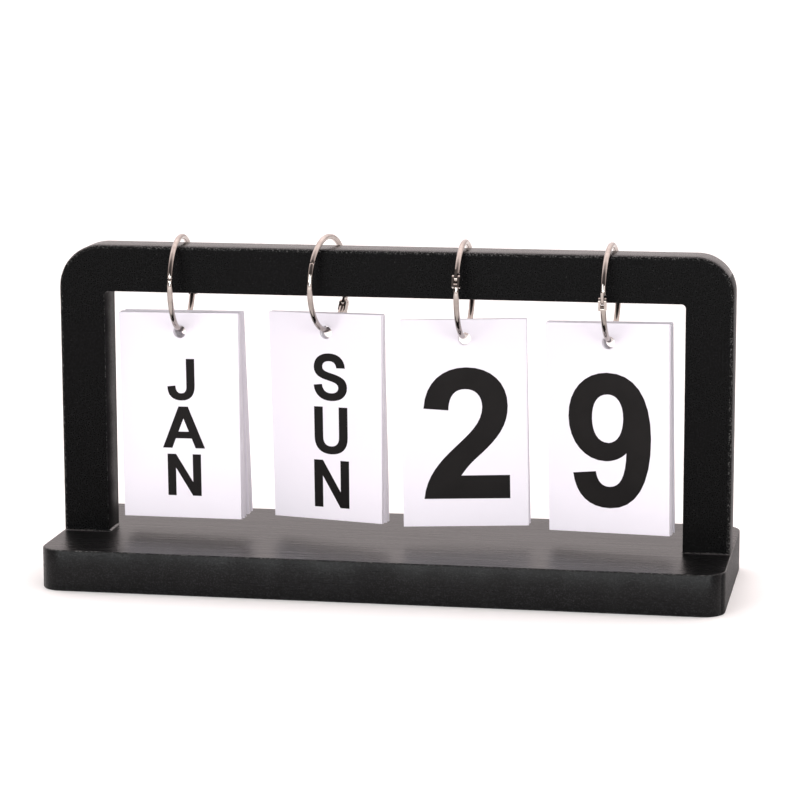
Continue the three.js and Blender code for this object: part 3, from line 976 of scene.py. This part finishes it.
class CardFrame:
    """Where a card hangs: the centre of its hole and its three directions, read off its node."""

    def __init__(self, node):
        mesh = frame["nodes"][node].data
        normal = Vector((0, 0, 0))
        for face in mesh.polygons:
            if face.normal.y < -0.7:
                normal += face.normal * face.area
        normal.normalize()
        spots = [v.co.copy() for v in mesh.vertices]
        level = max(p.dot(normal) for p in spots)
        front = [p for p in spots if p.dot(normal) > level - 0.1 * MM]
        top_left = max(front, key=lambda p: p.z - p.x)
        top_right = max(front, key=lambda p: p.z + p.x)
        foot_left = max(front, key=lambda p: -p.z - p.x)
        self.right = (top_right - top_left).normalized()
        self.up = (top_left - foot_left).normalized()
        self.normal = normal
        self.half_width = (top_right - top_left).length / 2
        self.top = CARD_HOLE_DROP
        self.foot = CARD_HOLE_DROP - (top_left - foot_left).length
        self.left = -self.half_width - CARD_HOLE_SHIFT
        self.hole = top_left - self.right * self.left - self.up * CARD_HOLE_DROP


def card_plan(pack, face, card):
    """The card's face as triangles: points, paper triangles and ink triangles."""
    across = 12
    down = 20
    columns = [card.left + 2 * card.half_width * i / across for i in range(across + 1)]
    rows = [card.foot + (card.top - card.foot) * i / down for i in range(down + 1)]
    rim = [(x, rows[0]) for x in columns[:-1]] + [(columns[-1], y) for y in rows[:-1]]
    rim += [(x, rows[-1]) for x in reversed(columns[1:])] + [(columns[0], y) for y in reversed(rows[1:])]
    hole = [(CARD_HOLE * cos(2 * pi * i / 40), CARD_HOLE * sin(2 * pi * i / 40)) for i in range(40)]
    shapes = [rim, hole, *printed_shapes(pack, face, card.top)]

    points = []
    faces = []
    for shape in shapes:
        faces.append(list(range(len(points), len(points) + len(shape))))
        points += shape
    for x in columns[1:-1]:
        for y in rows[1:-1]:
            if x * x + y * y > (CARD_HOLE * 1.3) ** 2:
                points.append((x, y))
    scale = 1 / MM
    scaled = [Vector((x * scale, y * scale)) for x, y in points]
    spots, _, triangles, _, _, sources = geometry.delaunay_2d_cdt(scaled, [], faces, 0, 1e-4)
    paper = []
    ink = []
    for triangle, source in zip(triangles, sources):
        if 1 in source:
            continue
        (ink if any(s > 1 for s in source) else paper).append(triangle)
    return [Vector(p) * MM for p in spots], paper, ink


def card_bend(pack, card, point):
    """How far a point of the card stands forward of the flat card."""
    plan = CARD_SET[pack]
    fall = (card.top - point.y) / (card.top - card.foot)
    return plan["curl"] * fall * fall - point.x * plan["twist"] * (2 * fall - 1)


def make_card(pack, face):
    """One card; those behind the front one stray a little to either side on the wire."""
    node = f"{pack}_card_{face}"
    card = CardFrame(node)
    place = PACKS[pack].index(face)
    card.hole += card.right * CARD_STRAY * sin(STRAY_STEP * place * place)
    points, paper, ink = card_plan(pack, face, card)

    bm = bmesh.new()
    front = []
    back = []
    for point in points:
        spot = card.hole + card.right * point.x + card.up * point.y
        forward = card_bend(pack, card, point)
        front.append(bm.verts.new(spot + card.normal * forward))
        back.append(bm.verts.new(spot + card.normal * (forward - CARD_THICKNESS)))
    edges = {}
    for triangles, material in ((paper, 0), (ink, 1)):
        for triangle in triangles:
            face_front = bm.faces.new([front[i] for i in triangle])
            face_front.material_index = material
            bm.faces.new([back[i] for i in reversed(triangle)])
            for a, b in zip(triangle, triangle[1:] + triangle[:1]):
                edges[(a, b)] = True
    for a, b in edges:
        if (b, a) not in edges:
            bm.faces.new((front[b], front[a], back[a], back[b])).material_index = 2
    bmesh.ops.delete(bm, geom=[v for v in bm.verts if not v.link_faces], context="VERTS")
    piece = new_object(f"{pack}_{face}", mesh_from_bmesh(node, bm), [STOCK, INK, CUT])
    shade_smooth(piece, 30)
    finish_piece(piece, node, [node])


# ------------------------------------------------------------------ studio

LAMP_COLOUR = (0.97, 1.0, 1.0)


def make_floor():
    s = Shader("floor")
    s.set(Base_Color=(0.95, 0.96, 0.96, 1), Roughness=0.6)
    s.surface.inputs["Specular IOR Level"].default_value = 0.0
    bm = bmesh.new()
    bmesh.ops.create_grid(bm, x_segments=1, y_segments=1, size=6)
    floor = new_object("floor", mesh_from_bmesh("floor", bm), [s.material])


def make_light(name, place, target, size, power):
    data = bpy.data.lights.new(name, "AREA")
    data.shape = "RECTANGLE"
    data.size, data.size_y = size
    data.energy = power
    data.color = LAMP_COLOUR
    light = bpy.data.objects.new(name, data)
    bpy.context.scene.collection.objects.link(light)
    light.location = place
    light.rotation_euler = (Vector(target) - Vector(place)).to_track_quat("-Z", "Y").to_euler()


def make_world():
    """Soft light from above and behind, fading to a dim room in front of the calendar."""
    world = bpy.data.worlds.new("studio")
    bpy.context.scene.world = world
    world.use_nodes = True
    nodes = world.node_tree.nodes
    links = world.node_tree.links
    where = nodes.new("ShaderNodeTexCoord")
    split = nodes.new("ShaderNodeSeparateXYZ")
    links.new(where.outputs["Generated"], split.inputs[0])
    product = nodes.new("ShaderNodeMath")
    product.operation = "MULTIPLY"
    fades = (("Y", -0.55, 0.25, 0.08, 1.0), ("Z", 0.05, 0.85, 0.95, 2.5))
    for index, (axis, low, high, dim, bright) in enumerate(fades):
        fade = nodes.new("ShaderNodeMapRange")
        fade.inputs["From Min"].default_value = low
        fade.inputs["From Max"].default_value = high
        fade.inputs["To Min"].default_value = dim
        fade.inputs["To Max"].default_value = bright
        links.new(split.outputs[axis], fade.inputs["Value"])
        links.new(fade.outputs["Result"], product.inputs[index])
    background = nodes["Background"]
    background.inputs["Color"].default_value = (1.0, 0.90, 0.89, 1)
    links.new(product.outputs["Value"], background.inputs["Strength"])


def make_camera():
    azimuth = radians(10.39)
    elevation = radians(10.07)
    roll = radians(-0.15)
    distance = 1.173
    aim = Vector((0.0021, 0.0, 0.0700))
    back = Vector((sin(azimuth) * cos(elevation), -cos(azimuth) * cos(elevation), sin(elevation)))
    data = bpy.data.cameras.new("camera")
    data.sensor_width = 36
    data.lens = 137.5
    data.clip_start = 0.01
    data.clip_end = 50
    camera = bpy.data.objects.new("camera", data)
    bpy.context.scene.collection.objects.link(camera)
    camera.location = aim + back * distance
    look = (-back).to_track_quat("-Z", "Y").to_matrix().to_4x4()
    camera.matrix_world = Matrix.Translation(camera.location) @ look @ Matrix.Rotation(roll, 4, "Z")
    bpy.context.scene.camera = camera


# ------------------------------------------------------------------ the calendar

make_base(make_screws())
make_arch()
make_paint_beads()
for pack_name, pack_faces in PACKS.items():
    make_ring(pack_name)
    for pack_face in pack_faces:
        make_card(pack_name, pack_face)

make_floor()
make_world()
make_light("key", (-0.75, -1.5, 0.6), (0, 0, 0.05), (0.7, 0.5), 11)
make_light("fill", (1.0, -1.4, 0.45), (0, 0, 0.04), (0.6, 0.5), 9)
make_light("low", (0.1, -1.9, 0.32), (0, 0, 0.03), (1.4, 0.4), 12)
make_camera()
bpy.context.scene.view_settings.view_transform = "Standard"
